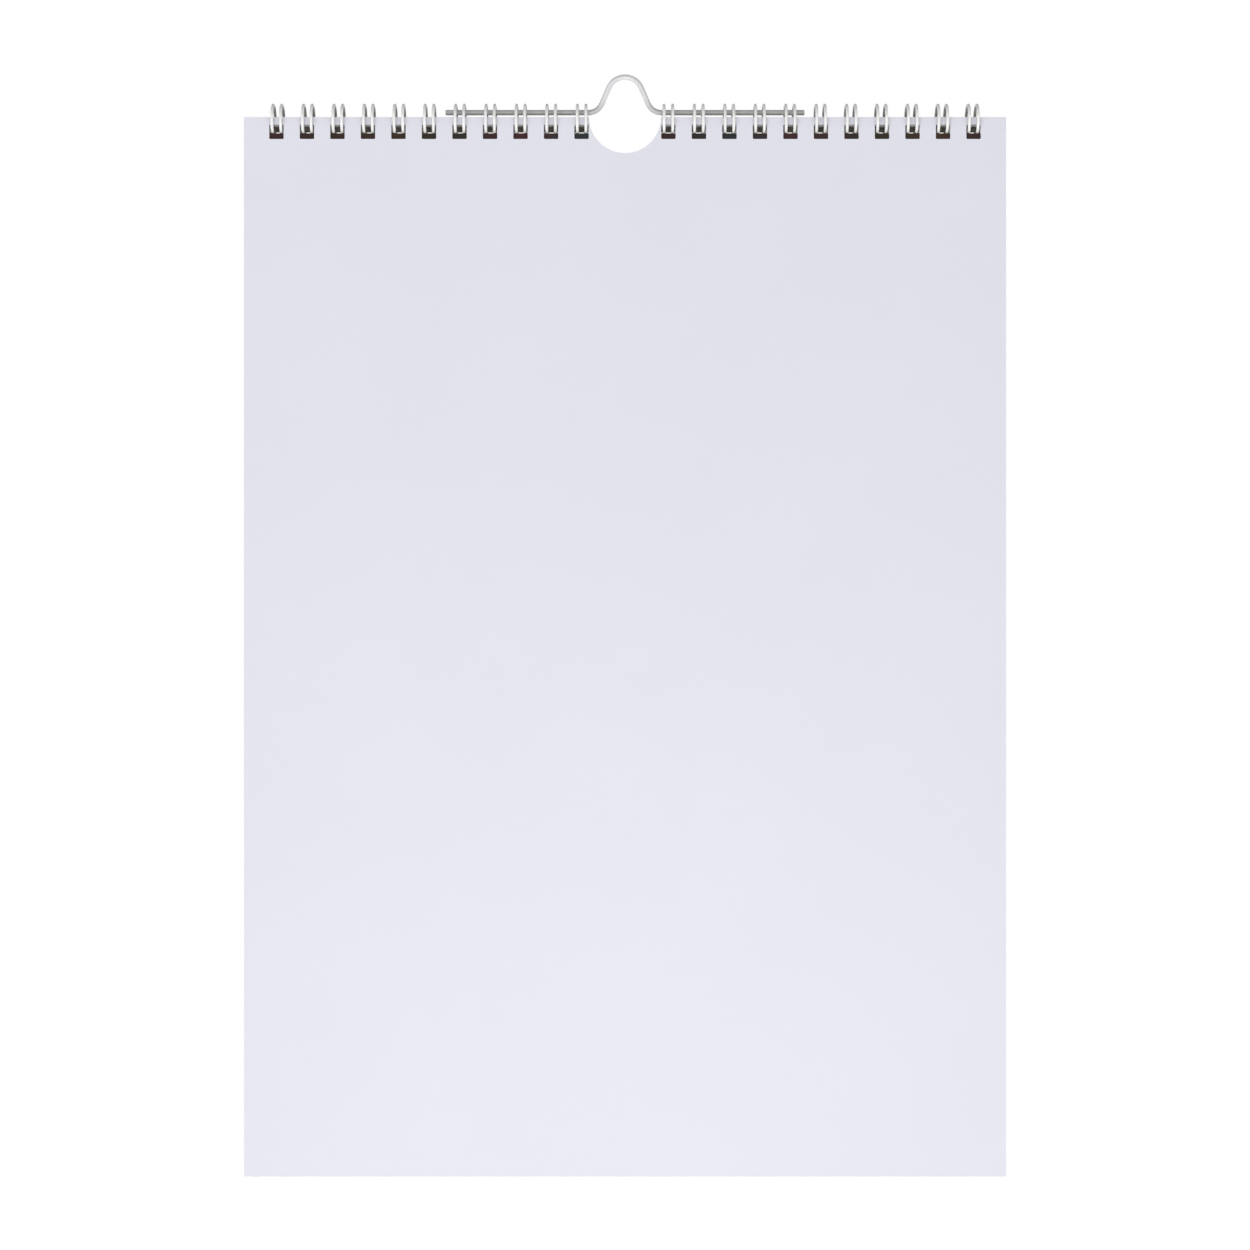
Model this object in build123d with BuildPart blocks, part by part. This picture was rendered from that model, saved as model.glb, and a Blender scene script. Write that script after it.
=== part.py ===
"""A wall calendar on a twin-loop wire binding: cover, month sheets, back board, two wire combs
and a hanger wire whose middle loop folds into the thumb cut.
Millimetres, +Z up, the cover faces -Y. The origin is the underside of the hanger loop's crown."""

import os
from math import cos, degrees, radians, sin, sqrt

from build123d import *

# sheets
page_width = 211.5
page_height = 294.0
cover_thickness = 0.25
board_thickness = 0.9
leaf_gap = 0.125  # air between cover and month sheets
board_gap = 0.2  # air between month sheets and board
thumb_cut_radius = 10.0

# punched holes
hole_size = 4.0
hole_margin = 2.1  # top edge of the sheet to top edge of the hole
hole_corner = 0.3
hole_clearance = 0.12  # wire to the upper edge of a hole
hole_under = 0.17  # wire to the lower edge of the sheets' and board's holes

# wire combs
loop_pitch = 25.4 / 3
loops_per_comb = 11
comb_gap = 24.1  # between the innermost loops of the two combs
ring_radius = 4.2  # to the wire's centre line
wire_diameter = 0.85
strand_spacing = 2.4
bend_radius = 1.0
rail_angle = 72.0  # from straight below the ring's axis, towards the back
ring_drop = 0.4  # ring axis below the sheets' top edge
tip_clearance = 0.13  # loop tip to the bends beside it
back_room = 1.2  # free depth inside the ring behind the board

# hanger
hanger_diameter = 1.5
hanger_length = 100.0
hanger_base = 15.0  # between the loop's two corners
hanger_peak = 17.3  # height at which its straight sides would meet
hanger_corner_radius = 4.0
hanger_crown_radius = 4.9
hanger_end_round = 0.3
sweep_clearance = 0.12  # turning cover to hanger

wire_r = wire_diameter / 2
hanger_r = hanger_diameter / 2
half_strand = strand_spacing / 2

# the hanger's crown: the fillet's centre lies on the axis, a side's distance away
side_length = sqrt((hanger_base / 2) ** 2 + hanger_peak**2)
crown_rise = hanger_peak - hanger_crown_radius * side_length / (hanger_base / 2) + hanger_crown_radius
arm_z = hanger_r - crown_rise

# depth of the cover: its hole's top edge clears the wire's inner side
cover_depth = sqrt((ring_radius - wire_r) ** 2 - (hole_margin - ring_drop + hole_clearance) ** 2)
cover_back = cover_thickness - cover_depth
ring_z = arm_z - (-cover_back - sweep_clearance - hanger_r)
page_top = ring_z + ring_drop

# the month sheets fill what the ring leaves between cover and board
pages_front = cover_back + leaf_gap
board_back = cover_depth - back_room
board_front = board_back - board_thickness
pages_back = board_front - board_gap

# hole edges below the sheets' top; the board's slots start just above the wire that carries it
cover_hole_bottom = hole_margin + hole_size
sheet_hole_bottom = ring_drop + ring_radius + wire_r + hole_under
board_hole_top = ring_drop + sqrt((ring_radius - wire_r) ** 2 - board_back**2) - hole_clearance

first_loop = comb_gap / 2
loop_centres = [first_loop + i * loop_pitch for i in range(loops_per_comb)]
all_centres = [-x for x in reversed(loop_centres)] + loop_centres


def sheet(front, back, hole_top, hole_bottom):
    """A punched sheet between two depths, its thumb cut open at the top edge."""
    hole_height = hole_bottom - hole_top
    plane = Plane(origin=(0, back, page_top), x_dir=(1, 0, 0), z_dir=(0, -1, 0))
    with BuildPart() as made:
        with BuildSketch(plane):
            with Locations((0, -page_height / 2)):
                Rectangle(page_width, page_height)
            Circle(thumb_cut_radius, mode=Mode.SUBTRACT)
            with Locations(*[(x, -(hole_top + hole_bottom) / 2) for x in all_centres]):
                RectangleRounded(hole_size, hole_height, hole_corner, mode=Mode.SUBTRACT)
        extrude(amount=back - front)
    return made


def tangent_plane(x, angle):
    """The plane touching the ring at an angle from straight below, local y running on round it."""
    across, up = cos(radians(angle)), sin(radians(angle))
    point = (x, ring_radius * up, ring_z - ring_radius * across)
    return Plane(origin=point, x_dir=(1, 0, 0), z_dir=(0, -up, across))


# strands start where the rail's bends end, and stop where the tip's half circle begins
start_angle = rail_angle + degrees(bend_radius / ring_radius)
reach = bend_radius + half_strand + 2 * wire_r + tip_clearance
tip_back = sqrt(reach**2 - (half_strand + bend_radius) ** 2)  # tip centre to bend centre
end_angle = start_angle + 360 - degrees(tip_back / ring_radius)
swept = end_angle - start_angle


def loop_edges(x, first, last):
    """One loop's centre line, with the bends and rails that join it to its neighbours."""
    edges = []
    bend_x = half_strand + bend_radius
    if not first:
        with BuildLine(tangent_plane(x, start_angle)) as lead:
            CenterArc((-bend_x, 0), bend_radius, 270, 90)
        edges += lead.edges()
    for side in (-half_strand, half_strand):
        strand_plane = Plane(origin=(x + side, 0, ring_z), x_dir=(0, 1, 0), z_dir=(1, 0, 0))
        with BuildLine(strand_plane) as strand:
            CenterArc((0, 0), ring_radius, start_angle - 90, swept)
        edges += strand.edges()
        if side < 0:
            with BuildLine(tangent_plane(x, end_angle)) as tip:
                CenterArc((0, 0), half_strand, 0, 180)
            edges += tip.edges()
    if not last:
        with BuildLine(tangent_plane(x, start_angle)) as tail:
            CenterArc((bend_x, 0), bend_radius, 180, 90)
            Line((bend_x, -bend_radius), (loop_pitch - bend_x, -bend_radius))
        edges += tail.edges()
    return edges


cover_card = sheet(-cover_depth, cover_back, hole_margin, cover_hole_bottom)
month_stack = sheet(pages_front, pages_back, hole_margin, sheet_hole_bottom)
board_slab = sheet(board_front, board_back, board_hole_top, sheet_hole_bottom)

with BuildPart() as front_cover:
    add(cover_card.part)
front_cover.part.label = "front_cover"

with BuildPart() as month_pages:
    add(month_stack.part)
month_pages.part.label = "month_pages"

with BuildPart() as back_board:
    add(board_slab.part)
back_board.part.label = "back_board"

comb_edges = []
for i, centre in enumerate(loop_centres):
    comb_edges += loop_edges(centre, i == 0, i == loops_per_comb - 1)
comb_line = Wire(comb_edges)

with BuildPart() as wire_right:
    with BuildSketch(Plane(origin=comb_line @ 0, z_dir=comb_line % 0)):
        Circle(wire_r)
    sweep(path=comb_line)
wire_right.part.label = "wire_right"

with BuildPart() as wire_left:
    mirror(wire_right.part, about=Plane.YZ)
wire_left.part.label = "wire_left"

with BuildPart() as hanger:
    with BuildLine(Plane(origin=(0, 0, arm_z), x_dir=(1, 0, 0), z_dir=(0, -1, 0))) as hanger_line:
        FilletPolyline(
            (-hanger_length / 2, 0),
            (-hanger_base / 2, 0),
            (0, hanger_peak),
            (hanger_base / 2, 0),
            (hanger_length / 2, 0),
            radius=[hanger_corner_radius, hanger_crown_radius, hanger_corner_radius],
        )
    with BuildSketch(Plane(origin=(-hanger_length / 2, 0, arm_z), z_dir=(1, 0, 0))):
        Circle(hanger_r)
    sweep(path=hanger_line.line)
    fillet(hanger.edges().group_by(Axis.X)[0] + hanger.edges().group_by(Axis.X)[-1], hanger_end_round)
hanger.part.label = "hanger"

os.makedirs("parts", exist_ok=True)
export_step(front_cover.part, "parts/front_cover.step")
export_step(month_pages.part, "parts/month_pages.step")
export_step(back_board.part, "parts/back_board.step")
export_step(wire_left.part, "parts/wire_left.step")
export_step(wire_right.part, "parts/wire_right.step")
export_step(hanger.part, "parts/hanger.step")
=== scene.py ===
# %% [markdown]
# # A wall calendar on twin-loop wires
#
# The object is a stack of punched sheets: a blank cover, the month sheets and a stiff board. Two white
# wire combs hold them, and a hanger wire runs through the inner loops. Its middle bends up into a loop
# for a nail. The frame that is loaded here already holds every body in its real place, in metres, and
# this file gives it its looks.

# %% Load the frame
import math

import bpy
import numpy as np
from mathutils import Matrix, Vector


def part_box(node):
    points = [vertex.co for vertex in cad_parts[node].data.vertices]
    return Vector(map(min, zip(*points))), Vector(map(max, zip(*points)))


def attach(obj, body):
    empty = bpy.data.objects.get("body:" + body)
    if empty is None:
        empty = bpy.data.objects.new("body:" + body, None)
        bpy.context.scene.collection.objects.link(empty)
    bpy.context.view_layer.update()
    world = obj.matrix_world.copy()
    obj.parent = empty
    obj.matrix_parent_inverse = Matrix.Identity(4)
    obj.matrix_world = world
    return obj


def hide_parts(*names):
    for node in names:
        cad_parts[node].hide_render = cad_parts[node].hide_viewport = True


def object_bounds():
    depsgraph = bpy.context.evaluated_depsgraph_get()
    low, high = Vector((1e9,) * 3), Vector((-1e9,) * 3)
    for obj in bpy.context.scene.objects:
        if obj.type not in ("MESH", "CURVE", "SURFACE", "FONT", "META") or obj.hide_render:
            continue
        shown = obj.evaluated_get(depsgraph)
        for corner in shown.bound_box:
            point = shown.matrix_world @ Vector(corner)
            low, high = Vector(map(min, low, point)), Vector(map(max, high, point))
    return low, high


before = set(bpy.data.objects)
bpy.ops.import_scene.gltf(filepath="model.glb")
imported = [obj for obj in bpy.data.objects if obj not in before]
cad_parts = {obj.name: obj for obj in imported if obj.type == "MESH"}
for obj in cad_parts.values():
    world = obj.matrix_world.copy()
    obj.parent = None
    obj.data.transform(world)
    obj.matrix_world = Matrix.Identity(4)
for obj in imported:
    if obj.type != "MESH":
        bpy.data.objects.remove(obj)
cad_low, cad_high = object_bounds()

# %% [markdown]
# ## Sizes
#
# A wire binding is built on one number: three holes to the inch. The places of the holes follow from
# it. Everything else is read from the frame's own boxes, so nothing has to be fitted by eye.

# %% Sizes of the binding
MM = 0.001
LOOP_PITCH = 25.4 / 3 * MM
LOOPS_PER_COMB = 11
STRAND_SPACING = 2.4 * MM  # between the two strands of a loop
WIRE_DIAMETER = 0.85 * MM
HOLE_WIDTH = 4.0 * MM
HOLE_TOP = 2.1 * MM  # from a sheet's top edge down to its holes
THUMB_CUT_RADIUS = 10.0 * MM

cover_low, cover_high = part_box("front_cover")
pages_low, pages_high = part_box("month_pages")
board_low, board_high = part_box("back_board")
comb_low, comb_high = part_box("wire_right")
hanger_low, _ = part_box("hanger")
page_top = pages_high.z
page_width = pages_high.x - pages_low.x
page_height = pages_high.z - pages_low.z
first_loop = comb_low.x + (STRAND_SPACING + WIRE_DIAMETER) / 2
right_loops = first_loop + LOOP_PITCH * np.arange(LOOPS_PER_COMB)
loop_centres = np.concatenate([-right_loops[::-1], right_loops])
print("sheet", round(page_width / MM, 1), "x", round(page_height / MM, 1), "mm")
print("loops at", np.round(loop_centres / MM, 1))

# %% [markdown]
# ## Camera
#
# The calendar is seen straight on, so its edges stay parallel to the view's. A long lens from 0.8 m
# keeps that calm look, yet the backs of the outer loops still peep out beside their fronts.

# %% Camera
COVER_SHARE = 0.6098  # of the view's width that the cover fills
COVER_TOP_SHARE = 0.4064  # of the view's height, from its centre up to the cover's top edge
CAMERA_DISTANCE = 0.8

view_side = page_width / COVER_SHARE
camera_data = bpy.data.cameras.new("camera")
camera_data.sensor_width = 36.0
camera_data.lens = camera_data.sensor_width * CAMERA_DISTANCE / view_side
camera = bpy.data.objects.new("camera", camera_data)
camera.location = (0, cover_low.y - CAMERA_DISTANCE, page_top - COVER_TOP_SHARE * view_side)
camera.rotation_euler = (math.pi / 2, 0, 0)
bpy.context.scene.collection.objects.link(camera)
bpy.context.scene.camera = camera
print("lens", round(camera_data.lens, 1), "mm; view at the cover", round(view_side / MM, 1), "mm across")

# %% [markdown]
# ## Light
#
# White things on white need light that differs from side to side. The sky here is bright all round
# the horizon and in front, and dims towards the zenith, so the tops of the wires turn grey as they do
# under a studio's side lights. One large lamp low in front lifts the lower half of the cover, and a
# smaller one high on the left draws the wires' soft shadows on the paper.

# %% Helpers for colours and nodes
MATH, VECTOR = "ShaderNodeMath", "ShaderNodeVectorMath"
SPLIT, RANGE = "ShaderNodeSeparateXYZ", "ShaderNodeMapRange"
NOISE, RAMP, MIX, BUMP = "ShaderNodeTexNoise", "ShaderNodeValToRGB", "ShaderNodeMix", "ShaderNodeBump"


def linear(hex_colour):
    """An sRGB hex colour as linear RGBA: the usual curve, a straight toe and a power of 2.4 above it."""
    s = np.array([int(hex_colour[i:i + 2], 16) for i in (1, 3, 5)]) / 255
    rgb = np.where(s <= 0.04045, s / 12.92, ((s + 0.055) / 1.055) ** 2.4)
    return (*[float(v) for v in rgb], 1.0)


def add_node(tree, kind, inputs=(), take=0, stops=(), **settings):
    """Adds one node and gives back its output take. Settings are its properties, and stops are a ramp's
    places and hex colours. Inputs, in order or by name, are values, hex colours or other nodes' outputs."""
    made = tree.nodes.new(kind)
    for name, value in settings.items():
        setattr(made, name, value)
    for socket, value in inputs.items() if isinstance(inputs, dict) else enumerate(inputs):
        if isinstance(value, bpy.types.NodeSocket):
            tree.links.new(value, made.inputs[socket])
        else:
            made.inputs[socket].default_value = linear(value) if isinstance(value, str) else value
    for _ in stops[2:]:
        made.color_ramp.elements.new(0.5)
    for index, (position, hex_colour) in enumerate(stops):
        made.color_ramp.elements[index].position = position
        made.color_ramp.elements[index].color = linear(hex_colour)
    return made.outputs[take] if made.outputs else None


# %% Sky
world = bpy.data.worlds.new("studio")
bpy.context.scene.world = world
world.use_nodes = True
sky = world.node_tree
sky.nodes.clear()
direction = add_node(sky, "ShaderNodeTexCoord", take="Generated")
towards_zenith = add_node(sky, SPLIT, {"Vector": direction}, "Z")
brightness = add_node(sky, RANGE, {"Value": towards_zenith, "From Min": 0.22, "From Max": 0.62,
                                   "To Min": 1.0, "To Max": 0.22}, interpolation_type="SMOOTHSTEP")
background = add_node(sky, "ShaderNodeBackground", {"Color": "#FFFFFF", "Strength": brightness})
add_node(sky, "ShaderNodeOutputWorld", {"Surface": background})
print("sky nodes:", len(sky.nodes))


# %% Lamps
def soft_lamp(name, place, aim, side, power, tint="#FFFFFF"):
    """A square area lamp at a place, turned towards a point."""
    data = bpy.data.lights.new(name, "AREA")
    data.shape, data.size, data.energy, data.color = "SQUARE", side, power, linear(tint)[:3]
    lamp = bpy.data.objects.new(name, data)
    lamp.location = place
    lamp.rotation_euler = (Vector(aim) - lamp.location).to_track_quat("-Z", "Y").to_euler()
    bpy.context.scene.collection.objects.link(lamp)
    print(name, "at", place, "m,", power, "W")


soft_lamp("low_front_lamp", place=(0.0, -0.5, -0.38), aim=(0, 0, -0.8 * page_height), side=0.2, power=0.62,
          tint="#F8F9FF")
soft_lamp("upper_left_lamp", place=(-0.55, -0.75, 0.5), aim=(0, 0, page_top), side=0.22, power=1.1)
bpy.context.scene.view_settings.view_transform = "Standard"

# %% [markdown]
# ## Floor
#
# The calendar hangs, so the floor lies well below it. It is a plain pale sheet of studio vinyl, large
# enough that its edge is never seen.

# %% Floor
FLOOR_DROP = 0.30
FLOOR_HALF = 6.0

floor_material = bpy.data.materials.new("matt white studio vinyl")
floor_material.use_nodes = True
floor_shader = floor_material.node_tree.nodes["Principled BSDF"]
floor_shader.inputs["Base Color"].default_value = linear("#F8F8F8")
floor_shader.inputs["Roughness"].default_value = 0.9
floor_shader.inputs["Emission Color"].default_value = (1, 1, 1, 1)
floor_shader.inputs["Emission Strength"].default_value = 0.66
floor_z = cad_low.z - FLOOR_DROP
floor_mesh = bpy.data.meshes.new("floor")
corners = ((-1, -1), (1, -1), (1, 1), (-1, 1))
floor_mesh.from_pydata([(x * FLOOR_HALF, y * FLOOR_HALF, floor_z) for x, y in corners], [], [(0, 1, 2, 3)])
floor_mesh.materials.append(floor_material)
floor = bpy.data.objects.new("floor", floor_mesh)
bpy.context.scene.collection.objects.link(floor)
print("floor", round(FLOOR_DROP / MM), "mm under the calendar")

# %% [markdown]
# ## Month sheets
#
# The frame holds the twelve month sheets as one block. Real ones are separate leaves with a little air
# between them, and that is what the edge of a calendar shows: fine dark lines. Each leaf is a grid of
# columns and rows. Columns fall on the edges of the holes and close together along the thumb cut; the
# top row follows the cut, and the cells where a hole is punched are left out. A Solidify modifier then
# gives the leaf its thickness. A boolean for each hole would work too, but it leaves ragged triangles.

# %% Where the columns of a leaf fall
SHEET_COUNT = 12
SHEET_THICKNESS = 0.26 * MM
INK_THICKNESS = 0.02 * MM
CUT_COLUMNS = 49  # along the thumb cut
SHOULDER = 14.0 * MM  # from the top edge down to where the rows run level, past the thumb cut
LOWER_ROWS = 24


def leaf_columns(half_width, hole_shift):
    """Sorted x places: both edges of every hole, cosine-spaced points along the thumb cut, and the sides."""
    arc = THUMB_CUT_RADIUS * np.cos(np.linspace(0, math.pi, CUT_COLUMNS))
    holes = loop_centres + hole_shift
    places = np.concatenate([arc, holes - HOLE_WIDTH / 2, holes + HOLE_WIDTH / 2, [-half_width, half_width]])
    return np.unique(np.round(places, 9))


def leaf(depth, half_width, length, hole_bottom, hole_shift, ripple):
    """One leaf as points and quads. A column's rows run from its top edge, which the thumb cut lowers by the
    root of radius squared less x squared, past both hole edges and down to the foot in even steps; the leaf
    bows towards the front by half a sine over its length, ripple metres at the most."""
    x = leaf_columns(half_width, hole_shift)
    cut = np.sqrt(np.clip(THUMB_CUT_RADIUS ** 2 - x ** 2, 0, None))
    rows = np.stack([cut, *[np.full_like(x, row) for row in (HOLE_TOP, hole_bottom, SHOULDER)]], 1)
    inside = cut > 0
    steps = np.linspace(0, 1, rows.shape[1])[None, :]
    rows[inside] = (cut[:, None] * (1 - steps) + SHOULDER * steps)[inside]
    lower = np.linspace(SHOULDER, length, LOWER_ROWS + 1)[1:]
    down = np.concatenate([rows, np.repeat(lower[None, :], len(x), 0)], 1)
    bow = -ripple * np.sin(math.pi * np.clip(down - SHOULDER, 0, None) / (length - SHOULDER))
    points = np.stack([np.repeat(x[:, None], down.shape[1], 1), depth + bow, page_top - down], 2)
    n_rows = down.shape[1]
    i, j = np.meshgrid(np.arange(len(x) - 1), np.arange(n_rows - 1), indexing="ij")
    middle = (x[:-1] + x[1:]) / 2
    in_hole = (np.abs(middle[:, None] - loop_centres[None, :] - hole_shift) < HOLE_WIDTH / 2).any(1)
    keep = ~((j == 1) & in_hole[:, None])
    a = (i * n_rows + j)[keep]
    quads = np.stack([a, a + 1, a + n_rows + 1, a + n_rows], 1)
    return points.reshape(-1, 3), quads


def grid_piece(name, blocks, body):
    """Joins blocks of points and quads in one mesh object, on a body."""
    starts = np.cumsum([0] + [len(p) for p, _ in blocks])
    points = np.concatenate([p for p, _ in blocks])
    quads = np.concatenate([q + s for (_, q), s in zip(blocks, starts)])
    mesh = bpy.data.meshes.new(name)
    mesh.from_pydata(points.tolist(), [], quads.tolist())
    mesh.update()
    made = bpy.data.objects.new(name, mesh)
    bpy.context.scene.collection.objects.link(made)
    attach(made, body)
    return made


# %% Lay the leaves one behind the other
SIDE_TRIM, FOOT_TRIM = 0.25 * MM, 0.4 * MM  # the most that a leaf is cut narrower and shorter
PUNCH_SHIFT = 0.12 * MM  # the most that a leaf's holes lie to one side
BOW = 0.04 * MM  # the most that a leaf bows forward
FIRST_HOLE_BOTTOM, HOLE_BOTTOM = 4.45 * MM, 5.19 * MM  # from the top edge down to the holes' lower edges

ink_room = 2 * INK_THICKNESS
sheet_step = (pages_high.y - pages_low.y - ink_room) / SHEET_COUNT
first_depth = pages_low.y + ink_room + sheet_step / 2
wobble = np.random.default_rng(7)
leaves = []
for number in range(SHEET_COUNT):
    half = page_width / 2 - wobble.uniform(0.0, SIDE_TRIM) * (number > 0)
    length = page_height - wobble.uniform(0.0, FOOT_TRIM) * (number > 0)
    shift = wobble.uniform(-PUNCH_SHIFT, PUNCH_SHIFT)
    bow = wobble.uniform(0.0, BOW) * (number > 0)
    hole_bottom = FIRST_HOLE_BOTTOM if number == 0 else HOLE_BOTTOM
    leaves.append(leaf(first_depth + sheet_step * number, half, length, hole_bottom, shift, bow))

first_sheet = grid_piece("first_month_sheet", leaves[:1], "binding")
later_sheets = grid_piece("later_month_sheets", leaves[1:], "binding")
for piece in (first_sheet, later_sheets):
    thick = piece.modifiers.new("paper thickness", "SOLIDIFY")
    thick.thickness, thick.offset = SHEET_THICKNESS, 0.0
    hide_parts("month_pages")
print("leaf has", len(leaves[0][1]), "quads; step between leaves", round(sheet_step / MM, 3), "mm")

# %% [markdown]
# ## Day numbers
#
# The first month sheet carries a plain grid of days. Blender's own font gives each number as a flat
# outline, which becomes a mesh and is then laid in its cell as points, so the number is a thin film of
# its own just above the paper, as thick printing ink is. Only figures are drawn, so it fits any language.

# %% Set the numbers in their cells
DAYS, DAYS_IN_WEEK, WEEKS = 31, 7, 5
GRID_SHARE = 0.40  # of the sheet's height that the day grid takes
SIDE_MARGIN = 9.0 * MM
PICTURE_GAP = 4.0 * MM  # bare paper between the picture and the day grid
FIGURE_HEIGHT = 9.5 * MM
FIGURE_PLACE = 0.42  # how far down its cell a number is centred, as a share of the cell

grid_left, grid_right = -page_width / 2 + SIDE_MARGIN, page_width / 2 - SIDE_MARGIN
grid_top = page_top - page_height * (1 - GRID_SHARE) - PICTURE_GAP
grid_foot = page_top - page_height + SIDE_MARGIN
cell_width = (grid_right - grid_left) / DAYS_IN_WEEK
cell_height = (grid_top - grid_foot) / WEEKS
ink_depth = first_depth - SHEET_THICKNESS / 2 - INK_THICKNESS


def figure_mesh(text):
    """A number's flat mesh: points across and up, centred, for a font one unit high, and its faces."""
    curve = bpy.data.curves.new("figure", "FONT")
    curve.body, curve.size, curve.align_x, curve.align_y = text, 1.0, "CENTER", "CENTER"
    curve.resolution_u = 4
    holder = bpy.data.objects.new("figure", curve)
    flat = bpy.data.meshes.new_from_object(holder)
    points = np.zeros(len(flat.vertices) * 3, np.float32)
    flat.vertices.foreach_get("co", points)
    faces = [tuple(p.vertices) for p in flat.polygons]
    bpy.data.objects.remove(holder)
    bpy.data.curves.remove(curve)
    bpy.data.meshes.remove(flat)
    return points.reshape(-1, 3)[:, :2], faces


number_points, number_faces, number_is_rest_day, placed = [], [], [], 0
for day in range(DAYS):
    flat_points, faces = figure_mesh(str(day + 1))
    week, weekday = divmod(day, DAYS_IN_WEEK)
    across = grid_left + (weekday + 0.5) * cell_width + flat_points[:, 0] * FIGURE_HEIGHT
    up = grid_top - (week + FIGURE_PLACE) * cell_height + flat_points[:, 1] * FIGURE_HEIGHT
    number_points.append(np.stack([across, np.full_like(across, ink_depth), up], 1))
    number_faces += [tuple(v + placed for v in face) for face in faces]
    number_is_rest_day += [weekday == DAYS_IN_WEEK - 1] * len(faces)
    placed += len(flat_points)

numbers_mesh = bpy.data.meshes.new("day_numbers")
numbers_mesh.from_pydata(np.concatenate(number_points).tolist(), [], number_faces)
numbers_mesh.update()
day_numbers = bpy.data.objects.new("day_numbers", numbers_mesh)
bpy.context.scene.collection.objects.link(day_numbers)
film = day_numbers.modifiers.new("ink film", "SOLIDIFY")
film.thickness, film.offset = INK_THICKNESS, 0.0
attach(day_numbers, "binding")
print("day numbers:", placed, "points; cells", round(cell_width / MM, 1), "by", round(cell_height / MM, 1))

# %% [markdown]
# ## Coated cover card
#
# The cover is blank coated card: a thin white clay layer, rolled smooth, on bleached fibre. It looks a
# little blue because paper makers add a brightener. The clay leaves faint clouds a few centimetres
# across, a fine tooth and a soft satin shine. The back is uncoated and warmer, and the cut edge shows
# the fibre. One material does for all three: a point's depth in the card tells whether it lies on the
# front, on the back or on the edge between them, and depth, unlike the view, never changes.

# %% Helpers shared by the materials
FACE_SKIN = 0.02 * MM  # a point this close to a sheet's face belongs to the face, not to the edge


def new_material(name):
    """A material with its node tree, its Principled shader and the object's own coordinates."""
    made = bpy.data.materials.new(name)
    made.use_nodes = True
    tree = made.node_tree
    return made, tree, tree.nodes["Principled BSDF"], add_node(tree, "ShaderNodeTexCoord", take="Object")


def wear_material(piece, *materials):
    """Puts materials in a piece's slots, in order."""
    piece.data.materials.clear()
    for material in materials:
        piece.data.materials.append(material)


# %% Cover card
# Calendered clay is smooth but not glossy: roughness near 0.47, and less shine than bare plastic. Paper
# fibres are 0.02 mm wide, too fine to show, so the tooth is drawn at 0.6 mm and its relief kept low.
CARD_CLOUD, CARD_SHEEN, CARD_TOOTH, FIBRE_CLUMP = 45 * MM, 3 * MM, 0.6 * MM, 0.5 * MM

cover_card, tree, shader, place = new_material("clay-coated white card")
clouds = add_node(tree, NOISE, {"Vector": place, "Scale": 1 / CARD_CLOUD, "Detail": 2.0, "Roughness": 0.55})
fibre = add_node(tree, NOISE, {"Vector": place, "Scale": 1 / FIBRE_CLUMP, "Detail": 4.0, "Roughness": 0.7})
front_colour = add_node(tree, RAMP, (clouds,), stops=((0.35, "#DDDDE6"), (0.65, "#DEDEE7")))
back_colour = add_node(tree, RAMP, (fibre,), stops=((0.35, "#DCD9D2"), (0.65, "#E6E3DC")))
edge_colour = add_node(tree, RAMP, (fibre,), stops=((0.35, "#D2D0D2"), (0.65, "#E9E8EA")))
depth = add_node(tree, SPLIT, (place,), "Y")
on_back = add_node(tree, MATH, (depth, cover_high.y - FACE_SKIN), operation="GREATER_THAN")
on_front = add_node(tree, MATH, (depth, cover_low.y + FACE_SKIN), operation="LESS_THAN")
colour = add_node(tree, MIX, {0: on_back, 6: edge_colour, 7: back_colour}, 2, data_type="RGBA")
colour = add_node(tree, MIX, {0: on_front, 6: colour, 7: front_colour}, 2, data_type="RGBA")
tree.links.new(colour, shader.inputs["Base Color"])
satin = add_node(tree, NOISE, {"Vector": place, "Scale": 1 / CARD_SHEEN, "Detail": 3.0, "Roughness": 0.55})
satin = add_node(tree, RANGE, {"Value": satin, "To Min": 0.42, "To Max": 0.52})
tree.links.new(satin, shader.inputs["Roughness"])
shader.inputs["Specular IOR Level"].default_value = 0.35
tooth = add_node(tree, NOISE, {"Vector": place, "Scale": 1 / CARD_TOOTH, "Detail": 4.0, "Roughness": 0.6})
tooth = add_node(tree, BUMP, {"Height": tooth, "Strength": 0.12, "Distance": 0.02 * MM})
tree.links.new(tooth, shader.inputs["Normal"])
wear_material(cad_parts["front_cover"], cover_card)
print("cover card nodes:", len(tree.nodes))

# %% [markdown]
# ## Printed art paper
#
# Through the cover's holes the first month sheet shows as dark, warm fields. Its upper part is printed in
# broad bands of maroon, brown, olive and teal, with two plain discs and three rows of hills; the bands are
# print, and their darkness is also painted shade for the holes.
# Each is a simple shape worked out from the sheet's own width and height: a ramp across the width, a
# wave for each row of hills and a distance for each disc. The lower part is bare paper with hairlines
# round the days. Painting by formula keeps every edge sharp at any size.

# %% Shapes of the print
art_paper, tree, shader, place = new_material("offset-printed art paper")
across = add_node(tree, SPLIT, (place,), "X")
up = add_node(tree, SPLIT, (place,), "Z")
picture_foot = grid_top + PICTURE_GAP
LINE_HALF_WIDTH = 0.12 * MM


def distance_from(tree, place, kept_axes, point):
    """The distance to a point when only some axes count: the others are zeroed, then the offset's length."""
    kept = add_node(tree, VECTOR, (place, kept_axes), operation="MULTIPLY")
    return add_node(tree, VECTOR, (kept, point), "Value", operation="DISTANCE")


def disc(x, z, radius):
    """1 inside a circle on the sheet, 0 outside."""
    off_centre = distance_from(tree, place, (1, 0, 1), (x, 0, z))
    return add_node(tree, MATH, (off_centre, radius), operation="LESS_THAN")


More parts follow.
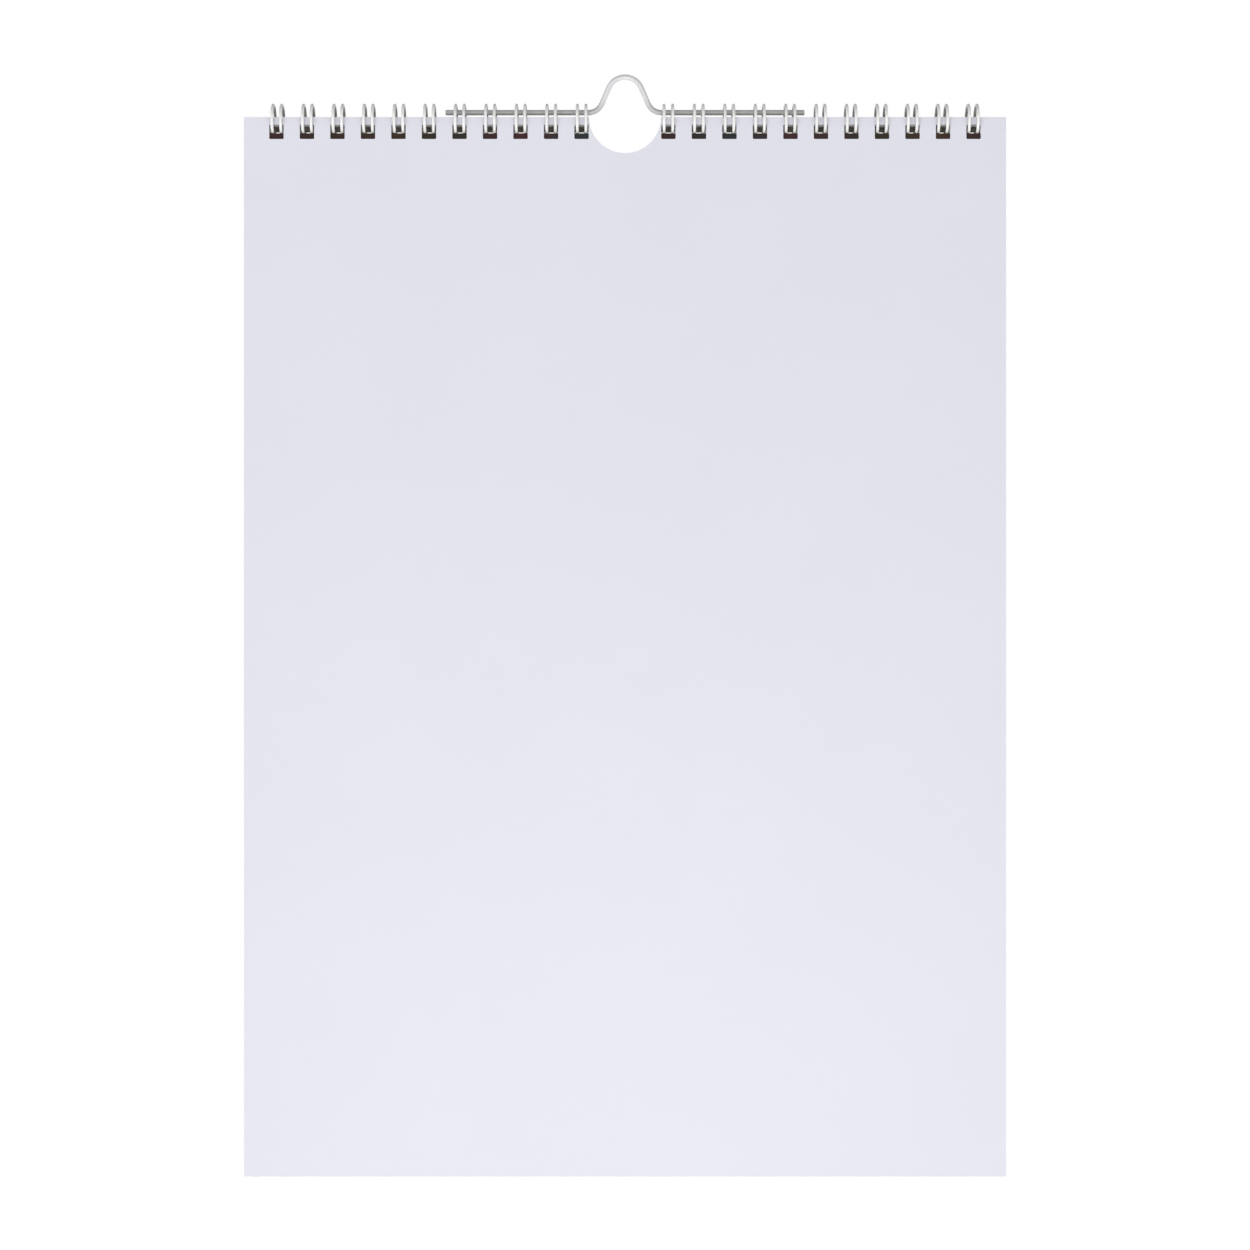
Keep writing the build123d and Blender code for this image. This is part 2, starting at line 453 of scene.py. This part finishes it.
def hills(level, height, length, phase):
    """1 under a wave, 0 above it: a level plus a sine along the width."""
    turn = add_node(tree, MATH, (across, 2 * math.pi / length, phase), operation="MULTIPLY_ADD")
    wave = add_node(tree, MATH, (turn,), operation="SINE")
    crest = add_node(tree, MATH, (wave, height, level), operation="MULTIPLY_ADD")
    return add_node(tree, MATH, (up, crest), operation="LESS_THAN")


def hairlines(axis, start, step, count):
    """Two masks: 1 on the lines of a grid, by the distance to the nearest whole step, and 1 between its
    first and last line, by the distance to the grid's middle."""
    offset = add_node(tree, MATH, (axis, start), operation="SUBTRACT")
    steps = add_node(tree, MATH, (offset, step), operation="DIVIDE")
    nearest = add_node(tree, MATH, (steps,), operation="ROUND")
    on_line = add_node(tree, MATH, (steps, nearest, LINE_HALF_WIDTH / step), operation="COMPARE")
    inside = add_node(tree, MATH, (steps, count / 2, count / 2 + LINE_HALF_WIDTH / step), operation="COMPARE")
    return on_line, inside


# %% Lay the print on the sheet
# Painted shade in part: these dark bands are print, and their darkness also stands in for the shade seen
# through the cover's holes.
PRINT_AND_SHADE_BANDS = ["#3B1B22", "#2F2119", "#352619", "#29251A", "#3F1D24", "#232F30", "#331E17", "#252A2C",
                "#3C1F23", "#2B271A", "#3B2A19", "#321A23"]
print_and_shade_stops = [(index / (len(PRINT_AND_SHADE_BANDS) - 1), band) for index, band in enumerate(PRINT_AND_SHADE_BANDS)]
half_width = page_width / 2
width_share = add_node(tree, RANGE, {"Value": across, "From Min": -half_width, "From Max": half_width})
picture = add_node(tree, RAMP, (width_share,), stops=print_and_shade_stops)
for shape, ink_colour in ((disc(46 * MM, page_top - 62 * MM, 24 * MM), "#B98B4E"),
                          (disc(-38 * MM, page_top - 48 * MM, 11 * MM), "#7C3340"),
                          (hills(picture_foot + 58 * MM, 9 * MM, 150 * MM, 0.6), "#4E5A46"),
                          (hills(picture_foot + 34 * MM, 7 * MM, 110 * MM, 2.4), "#35524F"),
                          (hills(picture_foot + 14 * MM, 4 * MM, 85 * MM, 4.1), "#2B3A38")):
    picture = add_node(tree, MIX, {0: shape, 6: picture, 7: ink_colour}, 2, data_type="RGBA")

upright_lines, between_sides = hairlines(across, grid_left, cell_width, DAYS_IN_WEEK)
level_lines, between_ends = hairlines(up, grid_foot, cell_height, WEEKS)
any_line = add_node(tree, MATH, (upright_lines, level_lines), operation="MAXIMUM")
in_grid = add_node(tree, MATH, (between_sides, between_ends), operation="MULTIPLY")
lines = add_node(tree, MATH, (any_line, in_grid), operation="MULTIPLY")
bare = add_node(tree, NOISE, {"Vector": place, "Scale": 1 / (20 * MM), "Detail": 2.0, "Roughness": 0.55})
bare = add_node(tree, RAMP, (bare,), stops=((0.35, "#E6E4DE"), (0.65, "#EAE8E3")))
page = add_node(tree, MIX, {0: lines, 6: bare, 7: "#8E8C88"}, 2, data_type="RGBA")
in_picture = add_node(tree, MATH, (up, picture_foot), operation="GREATER_THAN")
printed = add_node(tree, MIX, {0: in_picture, 6: page, 7: picture}, 2, data_type="RGBA")
print("print on the first sheet:", len(PRINT_AND_SHADE_BANDS), "bands, grid from", round(grid_left / MM, 1), "mm")

# %% Finish of the printed sheet
# Offset ink dries to a low sheen, so roughness stays near 0.39 and the shine well under that of plastic.
depth = add_node(tree, SPLIT, (place,), "Y")
face_depth = first_depth - SHEET_THICKNESS / 2
on_front = add_node(tree, MATH, (depth, face_depth + FACE_SKIN), operation="LESS_THAN")
colour = add_node(tree, MIX, {0: on_front, 6: "#DEDCD6", 7: printed}, 2, data_type="RGBA")
tree.links.new(colour, shader.inputs["Base Color"])
sheen = add_node(tree, NOISE, {"Vector": place, "Scale": 1 / (2 * MM), "Detail": 3.0, "Roughness": 0.55})
sheen = add_node(tree, RANGE, {"Value": sheen, "To Min": 0.34, "To Max": 0.44})
tree.links.new(sheen, shader.inputs["Roughness"])
shader.inputs["Specular IOR Level"].default_value = 0.2
tooth = add_node(tree, NOISE, {"Vector": place, "Scale": 1 / CARD_TOOTH, "Detail": 4.0, "Roughness": 0.6})
tooth = add_node(tree, BUMP, {"Height": tooth, "Strength": 0.1, "Distance": 0.02 * MM})
tree.links.new(tooth, shader.inputs["Normal"])
wear_material(first_sheet, art_paper)
print("art paper nodes:", len(tree.nodes))

# %% Plain sheets
# Uncoated paper is matt and open: fibre clumps show as a faint grain, drawn at 0.7 mm to be seen at all.
plain_paper, tree, shader, place = new_material("uncoated white paper")
grain = add_node(tree, NOISE, {"Vector": place, "Scale": 1 / (0.7 * MM), "Detail": 4.0, "Roughness": 0.7})
colour = add_node(tree, RAMP, (grain,), stops=((0.35, "#E3E1DC"), (0.65, "#F0EFEA")))
tree.links.new(colour, shader.inputs["Base Color"])
shader.inputs["Roughness"].default_value = 0.62
tooth = add_node(tree, NOISE, {"Vector": place, "Scale": 1 / FIBRE_CLUMP, "Detail": 4.0, "Roughness": 0.6})
tooth = add_node(tree, BUMP, {"Height": tooth, "Strength": 0.2, "Distance": 0.02 * MM})
tree.links.new(tooth, shader.inputs["Normal"])
wear_material(later_sheets, plain_paper)
print("plain paper nodes:", len(tree.nodes))

# %% Printing ink
# Two inks, near black for working days and maroon for the last day of the week. Ink soaks in unevenly, so
# its tone drifts a little over less than a millimetre.
INK_DRIFT = 0.8 * MM

inks = []
for name, dark, light in (("dark offset ink", "#26262A", "#303036"),
                          ("maroon offset ink", "#6E2433", "#7A2C3B")):
    ink, tree, shader, place = new_material(name)
    drift = add_node(tree, NOISE, {"Vector": place, "Scale": 1 / INK_DRIFT, "Detail": 3.0, "Roughness": 0.55})
    colour = add_node(tree, RAMP, (drift,), stops=((0.35, dark), (0.65, light)))
    tree.links.new(colour, shader.inputs["Base Color"])
    shader.inputs["Roughness"].default_value = 0.4
    inks.append(ink)
wear_material(day_numbers, *inks)
numbers_mesh.polygons.foreach_set("material_index", np.array(number_is_rest_day, np.int32))
print("inks:", [ink.name for ink in inks])

# %% [markdown]
# ## Grey bookbinding board
#
# The back is greyboard: waste paper pulped and pressed, so it is a warm grey flecked with darker and
# lighter fibres a millimetre or so long, quite matt and a little rough to the hand. One noise does for
# both kinds of fleck: its highest parts are the light fibres and its lowest the dark ones.

# %% Board
FLECK, BOARD_CLOUD = 1.2 * MM, 30 * MM

greyboard, tree, shader, place = new_material("pressed greyboard")
stretched = add_node(tree, "ShaderNodeMapping", {"Vector": place, "Scale": (1.0, 1.0, 3.0)})
clouds = add_node(tree, NOISE, {"Vector": place, "Scale": 1 / BOARD_CLOUD, "Detail": 3.0, "Roughness": 0.55})
flecks = add_node(tree, NOISE, {"Vector": stretched, "Scale": 1 / FLECK, "Detail": 5.0, "Roughness": 0.75})
colour = add_node(tree, RAMP, (clouds,), stops=((0.35, "#918B80"), (0.65, "#958F84")))
light_fleck = add_node(tree, MATH, (flecks, 0.64), operation="GREATER_THAN")
dark_fleck = add_node(tree, MATH, (flecks, 0.36), operation="LESS_THAN")
colour = add_node(tree, MIX, {0: light_fleck, 6: colour, 7: "#B4AE9F"}, 2, data_type="RGBA")
colour = add_node(tree, MIX, {0: dark_fleck, 6: colour, 7: "#676056"}, 2, data_type="RGBA")
tree.links.new(colour, shader.inputs["Base Color"])
shader.inputs["Roughness"].default_value = 0.88
relief = add_node(tree, BUMP, {"Height": flecks, "Strength": 0.35, "Distance": 0.06 * MM})
tree.links.new(relief, shader.inputs["Normal"])
wear_material(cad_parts["back_board"], greyboard)
print("greyboard nodes:", len(tree.nodes))

# %% [markdown]
# ## Coated wire
#
# The combs are steel wire dipped in white nylon: a smooth plastic skin, glossy but not mirror-like, with
# a slight orange-peel. The inside of the loops is painted grey as painted shade, so its tone follows the
# distance from the rings' axis, which is the middle of the comb's own box. The hanger is a thicker
# galvanised wire under a thin white lacquer. Its arms are painted grey as painted shade, and the bend that
# stands free is painted whiter as painted light, so its tone follows the height.

# %% Nylon on the combs
ring_centre = (comb_low + comb_high) / 2
ring_outer = (comb_high.z - comb_low.z) / 2

nylon, tree, shader, place = new_material("white nylon-coated steel wire")
from_axis = distance_from(tree, place, (0, 1, 1), (0, ring_centre.y, ring_centre.z))
# Painted shade: the inner side of each loop, close to the rings' axis, is coloured dark grey. The outer side
# keeps the white of the nylon.
lit_outer_share = add_node(tree, RANGE, {"Value": from_axis, "From Min": ring_outer - 0.9 * WIRE_DIAMETER,
                                 "From Max": ring_outer - 0.2 * WIRE_DIAMETER})
mottle = add_node(tree, NOISE, {"Vector": place, "Scale": 1 / (2.5 * MM), "Detail": 3.0, "Roughness": 0.55})
inner_mottle = add_node(tree, NOISE, {"Vector": place, "Scale": 1 / (1.2 * MM), "Detail": 3.0, "Roughness": 0.55})
outer_colour = add_node(tree, RAMP, (mottle,), stops=((0.35, "#E9E9E7"), (0.65, "#F1F1EF")))
shaded_inner_colour = add_node(tree, RAMP, (inner_mottle,), stops=((0.35, "#8C8C8A"), (0.65, "#9C9C9A")))
colour = add_node(tree, MIX, {0: lit_outer_share, 6: shaded_inner_colour, 7: outer_colour}, 2, data_type="RGBA")
tree.links.new(colour, shader.inputs["Base Color"])
shader.inputs["Roughness"].default_value = 0.3
shader.inputs["IOR"].default_value = 1.53
shader.inputs["Coat Weight"].default_value = 0.25
shader.inputs["Coat Roughness"].default_value = 0.15
peel = add_node(tree, NOISE, {"Vector": place, "Scale": 1 / (0.9 * MM), "Detail": 2.0, "Roughness": 0.55})
peel = add_node(tree, BUMP, {"Height": peel, "Strength": 0.08, "Distance": 0.03 * MM})
tree.links.new(peel, shader.inputs["Normal"])
for comb in ("wire_left", "wire_right"):
    wear_material(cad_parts[comb], nylon)
print("ring radius to the outside of the wire:", round(ring_outer / MM, 2), "mm")

# %% Lacquer on the hanger
lacquer, tree, shader, place = new_material("lacquered galvanised steel wire")
height = add_node(tree, SPLIT, (place,), "Z")
# Painted shade and light: low on the hanger, along the arms, the colour is a painted-shade grey. Up the free
# bend it turns to a painted-light white.
lit_bend_share = add_node(tree, RANGE, {"Value": height, "From Min": hanger_low.z + 0.7 * MM,
                                    "From Max": hanger_low.z + 4.5 * MM})
lacquer_mottle = add_node(tree, NOISE, {"Vector": place, "Scale": 1 / (1.6 * MM), "Detail": 4.0, "Roughness": 0.6})
shaded_arm_colour = add_node(tree, RAMP, (lacquer_mottle,), stops=((0.35, "#BDBEBE"), (0.65, "#C4C5C5")))
lit_bend_colour = add_node(tree, RAMP, (lacquer_mottle,), stops=((0.35, "#DADADC"), (0.65, "#DEDEE0")))
colour = add_node(tree, MIX, {0: lit_bend_share, 6: shaded_arm_colour, 7: lit_bend_colour}, 2, data_type="RGBA")
tree.links.new(colour, shader.inputs["Base Color"])
shader.inputs["Roughness"].default_value = 0.36
shader.inputs["Metallic"].default_value = 0.15
peel = add_node(tree, NOISE, {"Vector": place, "Scale": 1 / (0.8 * MM), "Detail": 3.0, "Roughness": 0.55})
peel = add_node(tree, BUMP, {"Height": peel, "Strength": 0.1, "Distance": 0.03 * MM})
tree.links.new(peel, shader.inputs["Normal"])
wear_material(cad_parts["hanger"], lacquer)
print("materials:", sorted(m.name for m in bpy.data.materials))
